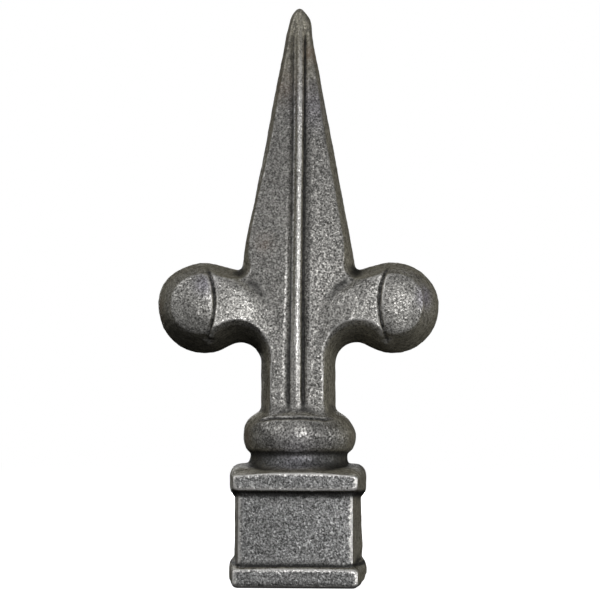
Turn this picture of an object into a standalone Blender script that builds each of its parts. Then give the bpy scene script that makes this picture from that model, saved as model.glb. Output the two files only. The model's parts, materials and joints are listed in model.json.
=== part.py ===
"""Cast-iron spear finial that slips over the top of a square fence picket.

The real one is a single casting from a two-part sand mould, parted on the plane Y = 0, so each surface
leans in a little from that plane towards the front and the back. It has a square socket with two bands,
a turned ring, and a flat spear whose two arms end in balls. X runs across the arms, -Y is the front and
Z is up. The origin is the middle of the socket's underside.
"""

import math

import bmesh
import bpy
from mathutils import Vector
from mathutils.geometry import delaunay_2d_cdt

MM = 0.001

# The socket, from the bar that goes into it.
BAR_SIZE = 25.4 * MM
BAR_CLEARANCE = 0.3 * MM
SOCKET_WALL = 3.6 * MM
SOCKET_DEPTH = 26.0 * MM
SOCKET_CORNER_ROUND = 0.8 * MM
CROWN_THICKNESS = 5.0 * MM
BAND_PROUD = 1.4 * MM
UPPER_BAND_HEIGHT = 9.2 * MM
LOWER_BAND_HEIGHT = 7.2 * MM
MOULD_DRAFT = math.radians(7.0)
BAND_SIDE_ROUND = 3.0 * MM
BAND_FRONT_ROUND = 1.25 * MM
FOOT_ROUND = 1.2 * MM
BODY_ROUND = 0.9 * MM
CAST_EDGE_ROUND = 0.55 * MM
KNOCKED_CORNER_WIDTH = 2.0 * MM
KNOCKED_CORNER_HEIGHT = 2.6 * MM

# The turned ring and the hollow neck under it.
RING_RADIUS = 14.9 * MM
RING_TUBE_RADIUS = 7.0 * MM
NECK_RADIUS = 12.7 * MM
NECK_COVE_RADIUS = 4.0 * MM
NECK_COVE_END = math.radians(250)

# The spear's outline on the parting plane.
TOTAL_HEIGHT = 154.7 * MM
ARM_SPAN = 74.8 * MM
STEM_WIDTH = 19.7 * MM
BALL_RISE = 27.3 * MM
BALL_RADIUS = 12.2 * MM
ARMPIT_RADIUS = 5.6 * MM
ARM_TOP_SLOPE = math.radians(15.6)
NOTCH_RADIUS = 1.2 * MM
BLADE_WIDTH = 29.9 * MM
POINT_WIDTH = 4.3 * MM
POINT_ROUND = 7.0 * MM

# Half thickness of the spear, from the parting plane to the front.
STEM_DEPTH = 10.6 * MM
BLADE_DEPTH = 9.5 * MM
POINT_DEPTH = 2.3 * MM
BALL_DEPTH = 12.3 * MM
BALL_DOME_RADIUS = 16.5 * MM

# How wide the drafted side wall looks from the front, and how full its curve is (1 is a flat chamfer).
BLADE_WALL_LEAST = 0.55 * MM
BLADE_WALL_SHARE = 0.132
STEM_WALL = 3.05 * MM
ARM_TOP_WALL = 4.0 * MM
ARM_UNDER_WALL = 5.3 * MM
BALL_WALL = 4.4 * MM
FLAT_FULLNESS = 1.2
ARM_FULLNESS = 1.3
BALL_FULLNESS = 1.3

# The carving on the front and the back.
BLADE_FACE_FALL = 0.16
STEM_FACE_FALL = 0.05
PETAL_PROUD = 2.7 * MM
PETAL_CREST_RADIUS = 33.0 * MM
PETAL_CREST_LEAN = math.radians(19.8)
PETAL_CREST_INSET = 2.6 * MM
PETAL_CREST_RISE = 8.6 * MM
PETAL_CREST_ROUND = 1.3 * MM
PETAL_CREST_FALL = 2.8 * MM
PETAL_STARTS = 5.5 * MM
PETAL_FULL = 14.5 * MM
VALLEY_DEPTH = 0.45 * MM
VALLEY_WIDTH = 6.0 * MM
RIB_HALF_WIDTH_BLADE = 1.1 * MM
RIB_HALF_WIDTH_STEM = 1.5 * MM
RIB_GROOVE_WIDTH_BLADE = 1.6 * MM
RIB_GROOVE_WIDTH_STEM = 1.7 * MM
RIB_GROOVE_FLOOR = 0.35 * MM
RIB_GROOVE_DEPTH = 1.05 * MM
RIB_PROUD = 0.5 * MM
RIB_END_BELOW_POINT = 7.0 * MM
RIB_FADE = 3.0 * MM
BALL_GROOVE_RADIUS = 21.5 * MM
BALL_GROOVE_INSET = 3.8 * MM
BALL_GROOVE_HALF_WIDTH = 0.6 * MM
BALL_GROOVE_DEPTH = 1.1 * MM

# How finely the curves and the faces are divided.
RING_SEGMENTS = 48
ARC_STEP = math.radians(11.0)
CORNER_STEPS = 4
EDGE_STEP = 3.6 * MM
FACE_STEP = 2.4 * MM
RIB_STEP = 5.0 * MM
RIB_LINES = (0.0, 0.5, 0.85, 1.0, 1.25, 1.6, 2.0, 2.3)
WALL_LINES = (0.1, 0.4, 0.75, 1.0, 1.15)
WALL_EASE = 5.0 * MM
LEAST_GAP = 0.3 * MM
MERGE = 0.02 * MM
OVERLAP = 2.0 * MM

# Levels that the sizes above settle.
SOCKET_WIDTH = BAR_SIZE + 2 * BAR_CLEARANCE
BODY_WIDTH = SOCKET_WIDTH + 2 * SOCKET_WALL
BAND_WIDTH = BODY_WIDTH + 2 * BAND_PROUD
BASE_TOP = SOCKET_DEPTH + CROWN_THICKNESS
RING_LEVEL = BASE_TOP + RING_TUBE_RADIUS
RING_TOP = RING_LEVEL + RING_TUBE_RADIUS
BALL_LEVEL = RING_TOP + BALL_RISE
BALL_TOP = BALL_LEVEL + BALL_RADIUS
TIP = TOTAL_HEIGHT
BALL_SPREAD = ARM_SPAN / 2 - BALL_RADIUS


def smooth_share(value, low, high):
    """0 at low, 1 at high, with a smooth start and end."""
    share = min(1.0, max(0.0, (value - low) / (high - low)))
    return share * share * (3.0 - 2.0 * share)


def mix(a, b, share):
    return a + (b - a) * share


def polar(centre, radius, angle):
    return Vector((centre[0] + radius * math.cos(angle), centre[1] + radius * math.sin(angle)))


def arc(centre, radius, start, end):
    """Points of an arc in the XZ plane, both ends included."""
    steps = max(2, math.ceil(abs(end - start) / ARC_STEP))
    return [polar(centre, radius, mix(start, end, i / steps)) for i in range(steps + 1)]


def spaced(start, end, step):
    """Points from start to end, no further apart than step, both ends included."""
    steps = max(1, math.ceil((end - start).length / step))
    return [start.lerp(end, i / steps) for i in range(steps + 1)]


def new_object(name, mesh):
    mesh.shade_smooth()
    made = bpy.data.objects.new(name, mesh)
    bpy.context.scene.collection.objects.link(made)
    return made


def helper(name, mesh):
    """A shape that is only joined to, or cut from, the casting."""
    made = new_object(name, mesh)
    made.hide_render = True
    made.display_type = "WIRE"
    return made


# The spear's outline.


def blade_half_width(z):
    """Half the width of the blade's straight edges, carried on past both ends."""
    share = (TIP - z) / (TIP - BALL_TOP)
    return mix(POINT_WIDTH, BLADE_WIDTH, share) / 2


def point_outline():
    """The rounded point, from the very tip down to the straight edge."""
    turns = [i * math.pi / 2 / 5 for i in range(5, -1, -1)]
    heights = [TIP - POINT_ROUND * (1 - math.sin(turn)) for turn in turns]
    return [Vector((blade_half_width(z) * math.cos(turn), z)) for z, turn in zip(heights, turns)]


def notch_outline():
    """The small fillet where the blade's edge meets the top of the arm, and where it ends on the arm."""
    along_arm = Vector((math.cos(ARM_TOP_SLOPE), math.sin(ARM_TOP_SLOPE)))
    leaves_ball = polar((BALL_SPREAD, BALL_LEVEL), BALL_RADIUS, math.pi / 2 + ARM_TOP_SLOPE)
    blade_run = (BLADE_WIDTH - POINT_WIDTH) / 2 / (TIP - BALL_TOP)
    along_blade = Vector((-blade_run, 1.0)).normalized()
    edge = Vector((BLADE_WIDTH / 2, BALL_TOP))
    gap = leaves_ball - edge
    across = along_blade.x * along_arm.y - along_blade.y * along_arm.x
    corner = edge + along_blade * (gap.x * along_arm.y - gap.y * along_arm.x) / across
    half_angle = along_blade.angle(along_arm) / 2
    centre = corner + (along_blade + along_arm).normalized() * NOTCH_RADIUS / math.sin(half_angle)
    reach = NOTCH_RADIUS / math.tan(half_angle)
    ends = [corner + along_blade * reach - centre, corner + along_arm * reach - centre]
    start, end = (math.atan2(p.y, p.x) % math.tau for p in ends)
    return arc(centre, NOTCH_RADIUS, start, end), leaves_ball


def armpit_centre():
    """Centre of the arc that touches both the side of the stem and the ball."""
    x = STEM_WIDTH / 2 + ARMPIT_RADIUS
    reach = BALL_RADIUS + ARMPIT_RADIUS
    return Vector((x, BALL_LEVEL - math.sqrt(reach**2 - (BALL_SPREAD - x) ** 2)))


def right_outline():
    """The right half of the outline, from the tip round to the stem's foot inside the ring.

    Each entry is a point, the width of the side wall there and the fullness of that wall.
    """
    found = []

    def add(points, wall, fullness):
        for p in points:
            if not found or (p - found[-1][0]).length > LEAST_GAP:
                width = wall(p) if callable(wall) else wall
                found.append((p, width, fullness))

    def blade_wall(p):
        return BLADE_WALL_LEAST + BLADE_WALL_SHARE * p.x

    def armpit_wall(p):
        share = min(1.0, max(0.0, (p.y - pit.y) / ARMPIT_RADIUS))
        return mix(STEM_WALL, ARM_UNDER_WALL, share**2)

    point = point_outline()
    notch, leaves_ball = notch_outline()
    ball = (BALL_SPREAD, BALL_LEVEL)
    pit = armpit_centre()
    meets_pit = math.atan2(pit.y - BALL_LEVEL, pit.x - BALL_SPREAD)
    foot = Vector((STEM_WIDTH / 2, RING_LEVEL))
    add(point, blade_wall, FLAT_FULLNESS)
    add(spaced(point[-1], notch[0], EDGE_STEP), blade_wall, FLAT_FULLNESS)
    add(notch, ARM_TOP_WALL, FLAT_FULLNESS)
    add(spaced(notch[-1], leaves_ball, EDGE_STEP), ARM_TOP_WALL, ARM_FULLNESS)
    add(arc(ball, BALL_RADIUS, math.pi / 2 + ARM_TOP_SLOPE, meets_pit), BALL_WALL, BALL_FULLNESS)
    add(arc(pit, ARMPIT_RADIUS, meets_pit + math.pi, math.pi), armpit_wall, ARM_FULLNESS)
    add(spaced(Vector((foot.x, pit.y)), foot, EDGE_STEP), STEM_WALL, FLAT_FULLNESS)
    add([Vector((0.0, RING_LEVEL))], STEM_WALL, FLAT_FULLNESS)
    return evened(found)


def evened(outline):
    """The same outline with its wall widths and fullness eased from one stretch to the next."""
    eased = []
    for p, _, _ in outline:
        weights = [max(0.0, 1.0 - (p - q).length / WALL_EASE) for q, _, _ in outline]
        total = sum(weights)
        wall = sum(w * entry[1] for w, entry in zip(weights, outline)) / total
        fullness = sum(w * entry[2] for w, entry in zip(weights, outline)) / total
        eased.append((p, wall, fullness))
    return eased


def wall_place(p, outline):
    """How far in from the outline p is, in wall widths, and the fullness of the nearest wall."""
    nearest, fullness = math.inf, FLAT_FULLNESS
    for (a, wall_a, full_a), (b, wall_b, full_b) in zip(outline, outline[1:]):
        along = b - a
        share = min(1.0, max(0.0, (p - a).dot(along) / along.length_squared))
        place = (p - a - along * share).length / mix(wall_a, wall_b, share)
        if place < nearest:
            nearest, fullness = place, mix(full_a, full_b, share)
    return nearest, fullness


# The carved surface: how far it stands in front of the parting plane.


def spine_depth(z):
    """Depth of the stem and the blade on their middle line."""
    if z < BALL_TOP:
        stem_end = armpit_centre().y
        return mix(STEM_DEPTH, BLADE_DEPTH, smooth_share(z, stem_end, BALL_TOP))
    return mix(BLADE_DEPTH, POINT_DEPTH, (z - BALL_TOP) / (TIP - BALL_TOP))


def spear_face(p):
    """The face of the stem and of the blade, which falls a little to each side."""
    stem_end = armpit_centre().y
    share = smooth_share(p.y, stem_end, BALL_TOP)
    half_width = mix(STEM_WIDTH / 2, blade_half_width(max(p.y, BALL_TOP)), share)
    fall = mix(STEM_FACE_FALL, BLADE_FACE_FALL, share)
    return spine_depth(p.y) * (1.0 - fall * min(1.0, p.x / half_width))


def crest_centre():
    """Centre of the arc that the petal's upper edge follows."""
    start = Vector((BALL_SPREAD - PETAL_CREST_INSET, BALL_LEVEL + PETAL_CREST_RISE))
    return start - polar((0.0, 0.0), PETAL_CREST_RADIUS, math.pi / 2 + PETAL_CREST_LEAN)


def petal_relief(p):
    """Height of the arm's petal over the spear's face, and below 0 in the valley above its edge."""
    above = (p - crest_centre()).length - PETAL_CREST_RADIUS
    strength = smooth_share(p.x, PETAL_STARTS, PETAL_FULL)
    step = PETAL_PROUD * (1.0 - smooth_share(above, -PETAL_CREST_ROUND, PETAL_CREST_FALL))
    far_side = smooth_share(above, PETAL_CREST_FALL, VALLEY_WIDTH)
    valley = VALLEY_DEPTH * smooth_share(above, 0.0, PETAL_CREST_FALL) * (1.0 - far_side)
    return strength * (step - valley)


def ball_face(p):
    radius = (p - Vector((BALL_SPREAD, BALL_LEVEL))).length
    return BALL_DEPTH - radius**2 / (2 * BALL_DOME_RADIUS)


def ball_groove_centre():
    return Vector((BALL_SPREAD - BALL_GROOVE_INSET + BALL_GROOVE_RADIUS, BALL_LEVEL))


def beyond_ball_groove(p):
    """Distance from the groove between petal and ball, above 0 on the ball's side."""
    return BALL_GROOVE_RADIUS - (p - ball_groove_centre()).length


def rib_sizes(z):
    """Half width of the rib, and how far from the middle its groove ends."""
    share = smooth_share(z, RING_TOP, BALL_TOP)
    rib = mix(RIB_HALF_WIDTH_STEM, RIB_HALF_WIDTH_BLADE, share)
    return rib, rib + mix(RIB_GROOVE_WIDTH_STEM, RIB_GROOVE_WIDTH_BLADE, share)


def rib_relief(p):
    """Height of the rib above the face around it, and below 0 in the groove on each side."""
    rib, lip = rib_sizes(p.y)
    end = TIP - RIB_END_BELOW_POINT
    strength = 1.0 - smooth_share(p.y, end - RIB_FADE, end)
    strength *= smooth_share(p.y, RING_TOP, RING_TOP + RIB_FADE)
    if p.x <= rib:
        bead = math.sqrt(1.0 - (p.x / rib) ** 2)
        return strength * ((RIB_GROOVE_DEPTH + RIB_PROUD) * bead - RIB_GROOVE_DEPTH)
    return -strength * RIB_GROOVE_DEPTH * (1.0 - smooth_share(p.x, rib + RIB_GROOVE_FLOOR, lip))


def carved_depth(p, outline):
    """Depth of the finished surface at p: the face, its carving, and the wall down to the outline."""
    place, fullness = wall_place(p, outline)
    beyond = beyond_ball_groove(p)
    face = ball_face(p) if beyond > 0 else spear_face(p) + petal_relief(p)
    if place < 1.0:
        wall = (1.0 - (1.0 - place) ** fullness) ** (1.0 / fullness)
    else:
        wall = 1.0
    cut = max(0.0, 1.0 - abs(beyond) / BALL_GROOVE_HALF_WIDTH) * smooth_share(place, 0.6, 1.0)
    relief = rib_relief(p) * smooth_share(place, 0.3, 1.0)
    return max(0.0, face * wall - BALL_GROOVE_DEPTH * cut + relief)


# The spear's mesh, one quarter of it, mirrored to the left and to the back.


def wall_lines(outline):
    """Lines that follow the outline inside it, up the side wall to the edge of the face."""
    lines = []
    for depth in WALL_LINES:
        line = []
        for before, (p, wall, _), after in zip(outline, outline[1:-1], outline[2:]):
            along = (after[0] - before[0]).normalized()
            inside = p + Vector((along.y, -along.x)) * (wall * depth)
            clear = wall_place(inside, outline)[0] > 0.96 * depth and inside.x > LEAST_GAP
            line.append(inside if clear else None)
        lines.append(line)
    return lines


def rib_lines(outline):
    """Upright lines on the middle, along the rib, down in its groove and just past the groove's lip."""
    heights = spaced(Vector((0.0, RING_LEVEL)), Vector((0.0, TIP)), RIB_STEP)
    lines = []
    for across in RIB_LINES:
        line = []
        for z in [h.y for h in heights[1:-1]]:
            rib, lip = rib_sizes(z)
            x = rib * across if across <= 1.0 else mix(rib, lip, across - 1.0)
            p = Vector((x, z))
            line.append(p if across == 0.0 or wall_place(p, outline)[0] > 1.1 else None)
        lines.append(line)
    return lines


def ball_groove_lines(outline):
    """Arcs down the middle and along both edges of the groove between petal and ball."""
    lines = []
    reach = BALL_RADIUS / BALL_GROOVE_RADIUS
    for aside in (-BALL_GROOVE_HALF_WIDTH, 0.0, BALL_GROOVE_HALF_WIDTH):
        radius = BALL_GROOVE_RADIUS + aside
        turns = [mix(-reach, reach, i / 12) for i in range(13)]
        points = [polar(ball_groove_centre(), radius, math.pi + turn) for turn in turns]
        lines.append([p if wall_place(p, outline)[0] > 0.8 else None for p in points])
    return lines


def crest_lines(outline):
    """Arcs along the petal's upper edge, down its fall and along the valley above it."""
    lines = []
    first = math.pi / 2 + PETAL_CREST_LEAN
    step = EDGE_STEP / 2 / PETAL_CREST_RADIUS
    for above in (-PETAL_CREST_ROUND, 0.0, PETAL_CREST_FALL / 2, PETAL_CREST_FALL, VALLEY_WIDTH):
        line = []
        for i in range(12):
            p = polar(crest_centre(), PETAL_CREST_RADIUS + above, first + i * step)
            clear = wall_place(p, outline)[0] > 1.1 and p.x > rib_sizes(p.y)[1] + LEAST_GAP
            line.append(p if clear and beyond_ball_groove(p) < -BALL_GROOVE_HALF_WIDTH else None)
        lines.append(line)
    return lines


def face_points(outline, taken):
    """Points spread over the rest of the faces, clear of the lines."""
    points = []
    row_step = FACE_STEP * math.sqrt(3) / 2
    rows = math.ceil((TIP - RING_LEVEL) / row_step)
    columns = math.ceil((BALL_SPREAD + BALL_RADIUS) / FACE_STEP)
    for row in range(rows):
        for column in range(columns):
            p = Vector(((column + 0.5 * (row % 2)) * FACE_STEP, RING_LEVEL + row * row_step))
            if wall_place(p, outline)[0] < 1.4 or p.x < rib_sizes(p.y)[1] + 0.4 * FACE_STEP:
                continue
            if all((p - q).length > 0.55 * FACE_STEP for q in taken):
                points.append(p)
    return points


def spear_mesh():
    """A quarter of the spear: right of the middle, in front of the parting plane."""
    outline = right_outline()
    rim = [entry[0] for entry in outline]
    points = list(rim)
    edges = [(i, i + 1) for i in range(len(rim) - 1)]
    line_sets = wall_lines(outline) + rib_lines(outline)
    line_sets += ball_groove_lines(outline) + crest_lines(outline)
    centre_line = line_sets[len(WALL_LINES)]
    for line in line_sets:
        before = None
        for p in line:
            if p is not None:
                points.append(p)
                if before is not None:
                    edges.append((before, len(points) - 1))
            before = None if p is None else len(points) - 1
    points += face_points(outline, points)
    first = points.index(centre_line[0])
    border = list(range(len(rim))) + list(range(first, first + len(centre_line)))
    found = delaunay_2d_cdt(points, edges, [border], 1, 1e-6)
    mesh = bpy.data.meshes.new("spear quarter")
    made = bmesh.new()
    for p in found[0]:
        x = 0.0 if p.x < 1e-6 else p.x
        made.verts.new((x, -carved_depth(Vector((x, p.y)), outline), p.y))
    made.verts.ensure_lookup_table()
    for face in found[2]:
        made.faces.new([made.verts[i] for i in face])
    made.normal_update()
    if sum(face.normal.y for face in made.faces) > 0:
        bmesh.ops.reverse_faces(made, faces=made.faces)
    made.to_mesh(mesh)
    made.free()
    return mesh


# The turned ring.


def ring_mesh():
    """Ring and hollow neck, turned about the upright axis, from inside the stem to inside the band."""
    core = RING_RADIUS - RING_TUBE_RADIUS
    neck_turn = -math.acos((NECK_RADIUS - core) / RING_TUBE_RADIUS)
    tube = arc((core, RING_LEVEL), RING_TUBE_RADIUS, math.pi / 2, neck_turn)
    cove_centre = (NECK_RADIUS + NECK_COVE_RADIUS, tube[-1].y)
    cove = arc(cove_centre, NECK_COVE_RADIUS, math.pi, NECK_COVE_END)
    bottom = cove[-1].y - OVERLAP
    profile = [Vector((0.0, RING_TOP))] + tube + cove[1:]
    profile += [Vector((cove[-1].x, bottom)), Vector((0.0, bottom))]
    mesh = bpy.data.meshes.new("ring")
    made = bmesh.new()
    verts = [made.verts.new((p.x, 0.0, p.y)) for p in profile]
    edges = [made.edges.new(pair) for pair in zip(verts, verts[1:])]
    bmesh.ops.spin(
        made,
        geom=verts + edges,
        axis=(0, 0, 1),
        cent=(0, 0, 0),
        steps=RING_SEGMENTS,
        angle=math.tau,
        use_merge=True,
    )
    bmesh.ops.remove_doubles(made, verts=made.verts, dist=MERGE)
    bmesh.ops.recalc_face_normals(made, faces=made.faces)
    made.to_mesh(mesh)
    made.free()
    return mesh


# The socket's body and bands, each a block that the mould's draft narrows to the front and the back.


def rounded_section(half_width, low, high, low_round, high_round):
    """A rectangle in the XZ plane with rounded corners, from its lower right corner round."""
    corners = [
        (half_width, low, low_round, 1, 1, -math.pi / 2),
        (half_width, high, high_round, 1, -1, 0.0),
        (-half_width, high, high_round, -1, -1, math.pi / 2),
        (-half_width, low, low_round, -1, 1, math.pi),
    ]
    points = []
    for x, z, radius, side, inward, start in corners:
        centre = (x - side * radius, z + inward * radius)
        for i in range(CORNER_STEPS + 1):
            points.append(polar(centre, radius, start + i * math.pi / 2 / CORNER_STEPS))
    return points


def drafted_block(name, width, low, high, low_round, high_round, front_round, low_draft, high_draft):
    """A square block as wide as it is deep. Each draft says whether that end leans in as the sides do."""
    lean = width / 2 * math.tan(MOULD_DRAFT)
    edge = CAST_EDGE_ROUND
    sections = []
    for turn in (90, 45, 0):
        inset = edge * (1 - math.cos(math.radians(turn)))
        depth = width / 2 - edge * (1 - math.sin(math.radians(turn)))
        sections.append(
            (
                depth,
                rounded_section(
                    width / 2 - lean - inset,
                    low + lean * low_draft + inset,
                    high - lean * high_draft - inset,
                    min(low_round, front_round),
                    min(high_round, front_round),
                ),
            )
        )
    middle = rounded_section(width / 2, low, high, low_round, high_round)
    stations = [(-depth, points) for depth, points in sections]
    stations += [(0.0, middle)] + [(depth, points) for depth, points in reversed(sections)]
    mesh = bpy.data.meshes.new(name)
    made = bmesh.new()
    rings = [[made.verts.new((p.x, y, p.y)) for p in points] for y, points in stations]
    for ring, after in zip(rings, rings[1:]):
        for i, corner in enumerate(ring):
            following = (i + 1) % len(ring)
            made.faces.new((corner, after[i], after[following], ring[following]))
    made.faces.new(rings[0])
    made.faces.new(list(reversed(rings[-1])))
    bmesh.ops.recalc_face_normals(made, faces=made.faces)
    made.to_mesh(mesh)
    made.free()
    return mesh


def body_mesh():
    low, high = LOWER_BAND_HEIGHT / 2, BASE_TOP - UPPER_BAND_HEIGHT / 2
    return drafted_block("body", BODY_WIDTH, low, high, BODY_ROUND, BODY_ROUND, BODY_ROUND, 0, 0)


def upper_band_mesh():
    low = BASE_TOP - UPPER_BAND_HEIGHT
    rounds = (BAND_SIDE_ROUND, BAND_SIDE_ROUND, BAND_FRONT_ROUND)
    return drafted_block("upper band", BAND_WIDTH, low, BASE_TOP, *rounds, 1, 1)


def lower_band_mesh():
    rounds = (FOOT_ROUND, BAND_SIDE_ROUND, BAND_FRONT_ROUND)
    return drafted_block("lower band", BAND_WIDTH, 0.0, LOWER_BAND_HEIGHT, *rounds, 0, 1)


def box_mesh(name, low, high):
    mesh = bpy.data.meshes.new(name)
    made = bmesh.new()
    bmesh.ops.create_cube(made, size=1.0)
    size = Vector(high) - Vector(low)
    middle = (Vector(high) + Vector(low)) / 2
    bmesh.ops.scale(made, vec=size, verts=made.verts)
    bmesh.ops.translate(made, vec=middle, verts=made.verts)
    made.to_mesh(mesh)
    made.free()
    return mesh


def socket_cutter():
    half = SOCKET_WIDTH / 2
    mesh = box_mesh("socket", (-half, -half, -OVERLAP), (half, half, SOCKET_DEPTH))
    made = bmesh.new()
    made.from_mesh(mesh)
    upright = [edge for edge in made.edges if abs(edge.verts[0].co.z - edge.verts[1].co.z) > OVERLAP]
    bmesh.ops.bevel(
        made, geom=upright, offset=SOCKET_CORNER_ROUND, segments=3, profile=0.5, affect="EDGES"
    )
    made.to_mesh(mesh)
    made.free()
    return helper("socket", mesh)


def knocked_corner_cutter():
    """A wedge that takes off the lower band's bottom edge on the right, where the real one is knocked."""
    side = 4 * OVERLAP
    mesh = box_mesh("knocked corner", (0.0, -BAND_WIDTH, -side), (side, BAND_WIDTH, side))
    cutter = helper("knocked corner", mesh)
    cutter.location = (BAND_WIDTH / 2 - KNOCKED_CORNER_WIDTH, 0.0, 0.0)
    cutter.rotation_euler.y = math.atan2(KNOCKED_CORNER_WIDTH, KNOCKED_CORNER_HEIGHT)
    return cutter


# The casting.


def cast_iron():
    material = bpy.data.materials.new("cast iron")
    material.use_nodes = True
    shader = material.node_tree.nodes["Principled BSDF"]
    shader.inputs["Base Color"].default_value = (0.13, 0.13, 0.125, 1.0)
    shader.inputs["Metallic"].default_value = 0.75
    shader.inputs["Roughness"].default_value = 0.55
    return material


def apply_boolean(target, other, operation):
    modifier = target.modifiers.new(other.name, "BOOLEAN")
    modifier.object = other
    modifier.operation = operation


def main():
    for old in list(bpy.data.objects):
        bpy.data.objects.remove(old)
    finial = new_object("finial", spear_mesh())
    mirror = finial.modifiers.new("both sides, front and back", "MIRROR")
    mirror.use_axis = (True, True, False)
    mirror.merge_threshold = MERGE
    for name, mesh in (
        ("ring", ring_mesh()),
        ("upper band", upper_band_mesh()),
        ("body", body_mesh()),
        ("lower band", lower_band_mesh()),
    ):
        apply_boolean(finial, helper(name, mesh), "UNION")
    apply_boolean(finial, socket_cutter(), "DIFFERENCE")
    apply_boolean(finial, knocked_corner_cutter(), "DIFFERENCE")
    finial.data.materials.append(cast_iron())


main()
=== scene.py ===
"""Cast-iron spear finial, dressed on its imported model.

The finial stands on its socket with its front to -Y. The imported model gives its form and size. This script
gives it the soft edges, sandy skin and dull, tumbled finish of raw grey iron, a pale studio and the camera.
"""

import json
import math
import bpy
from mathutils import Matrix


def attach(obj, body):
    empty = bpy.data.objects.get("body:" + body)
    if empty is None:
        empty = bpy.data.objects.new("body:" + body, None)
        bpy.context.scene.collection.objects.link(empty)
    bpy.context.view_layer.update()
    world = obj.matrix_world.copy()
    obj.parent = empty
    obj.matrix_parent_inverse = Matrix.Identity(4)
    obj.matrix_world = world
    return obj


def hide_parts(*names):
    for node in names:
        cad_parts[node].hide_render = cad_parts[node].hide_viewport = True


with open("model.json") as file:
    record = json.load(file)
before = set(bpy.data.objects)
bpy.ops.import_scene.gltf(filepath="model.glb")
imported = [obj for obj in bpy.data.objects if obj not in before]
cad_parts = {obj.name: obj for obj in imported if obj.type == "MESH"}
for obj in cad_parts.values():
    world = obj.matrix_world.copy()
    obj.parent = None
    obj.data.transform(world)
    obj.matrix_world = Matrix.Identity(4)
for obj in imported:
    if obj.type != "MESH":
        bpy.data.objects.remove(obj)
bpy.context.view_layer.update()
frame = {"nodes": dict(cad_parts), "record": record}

from types import SimpleNamespace

import bmesh
import bpy
from mathutils import Vector

MM = 0.001


# The casting
# The whole finial is one pour of grey iron in a two-part sand mould, parted through the middle of the arms.
# It is knocked out, fettled and tumbled, which rounds its edges.

CASTING_NODE = "finial"
CORNER_GAP = 0.001 * MM
CAST_VOXEL = 0.38 * MM
SOFTENING_PASSES = 3
SOFTENING_SHARE = 0.5


def joined_copy(source, name):
    """A new object with the solid's triangles joined at their shared corners."""
    joined = bmesh.new()
    joined.from_mesh(source.data)
    bmesh.ops.remove_doubles(joined, verts=joined.verts, dist=CORNER_GAP)
    mesh = bpy.data.meshes.new(name)
    joined.to_mesh(mesh)
    joined.free()
    made = bpy.data.objects.new(name, mesh)
    bpy.context.scene.collection.objects.link(made)
    return made


def settle(made):
    """Turns the object's modifiers into plain mesh and takes them off."""
    evaluated = made.evaluated_get(bpy.context.evaluated_depsgraph_get())
    mesh = bpy.data.meshes.new_from_object(evaluated)
    made.modifiers.clear()
    old = made.data
    made.data = mesh
    bpy.data.meshes.remove(old)


casting = joined_copy(frame["nodes"][CASTING_NODE], "iron_casting")
even = casting.modifiers.new("even faces", "REMESH")
even.mode = "VOXEL"
even.voxel_size = CAST_VOXEL
even.use_smooth_shade = True
soften = casting.modifiers.new("cast edges", "SMOOTH")
soften.factor = SOFTENING_SHARE
soften.iterations = SOFTENING_PASSES
settle(casting)


# The skin
# Molten iron takes the print of the sand: grains, small pits where sand washed off, pimples where it gave
# way, and a faint ridge on the sides where the two halves of the mould met and the flash was ground off.

socket_high = frame["record"]["physics"]["openings"][0]["box_m"][1]

SAND_SIZES = {
    "Unevenness Height": 0.26 * MM,
    "Unevenness Size": 6.0 * MM,
    "Sand Height": 0.2 * MM,
    "Sand Size": 0.85 * MM,
    "Pit Depth": 0.24 * MM,
    "Pit Size": 0.75 * MM,
    "Pit Spacing": 3.4 * MM,
    "Pimple Height": 0.18 * MM,
    "Pimple Size": 0.6 * MM,
    "Seam Height": 0.16 * MM,
    "Seam Width": 0.7 * MM,
}
SOCKET_SIZES = {
    "Socket Half": socket_high[0],
    "Socket Top": socket_high[2],
}
SEAM_PATCH_SIZE = 5.0 * MM
SIDE_EDGE_SIZE = 1.6 * MM
PITTED_SHARE = 0.32
PIMPLED_SHARE = 0.25
WEAKEST_BUMP = 0.4
SIDE_SMOOTHNESS = 0.3
SIDE_RAGGEDNESS = 0.3
SOCKET_MARGIN = 0.8 * MM

# A pair, here and below, is where something begins and where it is whole, or what it is at two levels.
FRONTNESS_OF_SIDES = (0.85, 0.35)
GROUND_SEAM_NOISE = (-0.12, 0.16)


def node(tree, kind, settings=None, inputs=None):
    """A node with its settings made, and each input set to a value or linked to an output."""
    made = tree.nodes.new(kind)
    for name, value in (settings or {}).items():
        setattr(made, name, value)
    for key, value in (inputs or {}).items():
        if isinstance(value, bpy.types.NodeSocket):
            tree.links.new(value, made.inputs[key])
        else:
            made.inputs[key].default_value = value
    return made


def maths(tree, operation, *values):
    """The result of one sum on plain numbers or outputs."""
    return node(tree, "ShaderNodeMath", {"operation": operation}, dict(enumerate(values))).outputs[0]


def product(tree, first, *others):
    """All the values times each other."""
    for value in others:
        first = maths(tree, "MULTIPLY", first, value)
    return first


def sum_of(tree, first, *others):
    """All the values added up."""
    for value in others:
        first = maths(tree, "ADD", first, value)
    return first


def most(tree, first, *others):
    """The largest of the values."""
    for value in others:
        first = maths(tree, "MAXIMUM", first, value)
    return first


def apart(tree, a, b):
    """How far two values are from each other."""
    return maths(tree, "ABSOLUTE", maths(tree, "SUBTRACT", a, b))


def without(tree, share):
    """One less the share."""
    return maths(tree, "SUBTRACT", 1.0, share)


def vector_maths(tree, operation, *values):
    """The result of one sum on vectors, as a number where the sum gives one."""
    made = node(tree, "ShaderNodeVectorMath", {"operation": operation}, dict(enumerate(values)))
    return made.outputs["Value" if operation in ("DOT_PRODUCT", "DISTANCE") else "Vector"]


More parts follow.
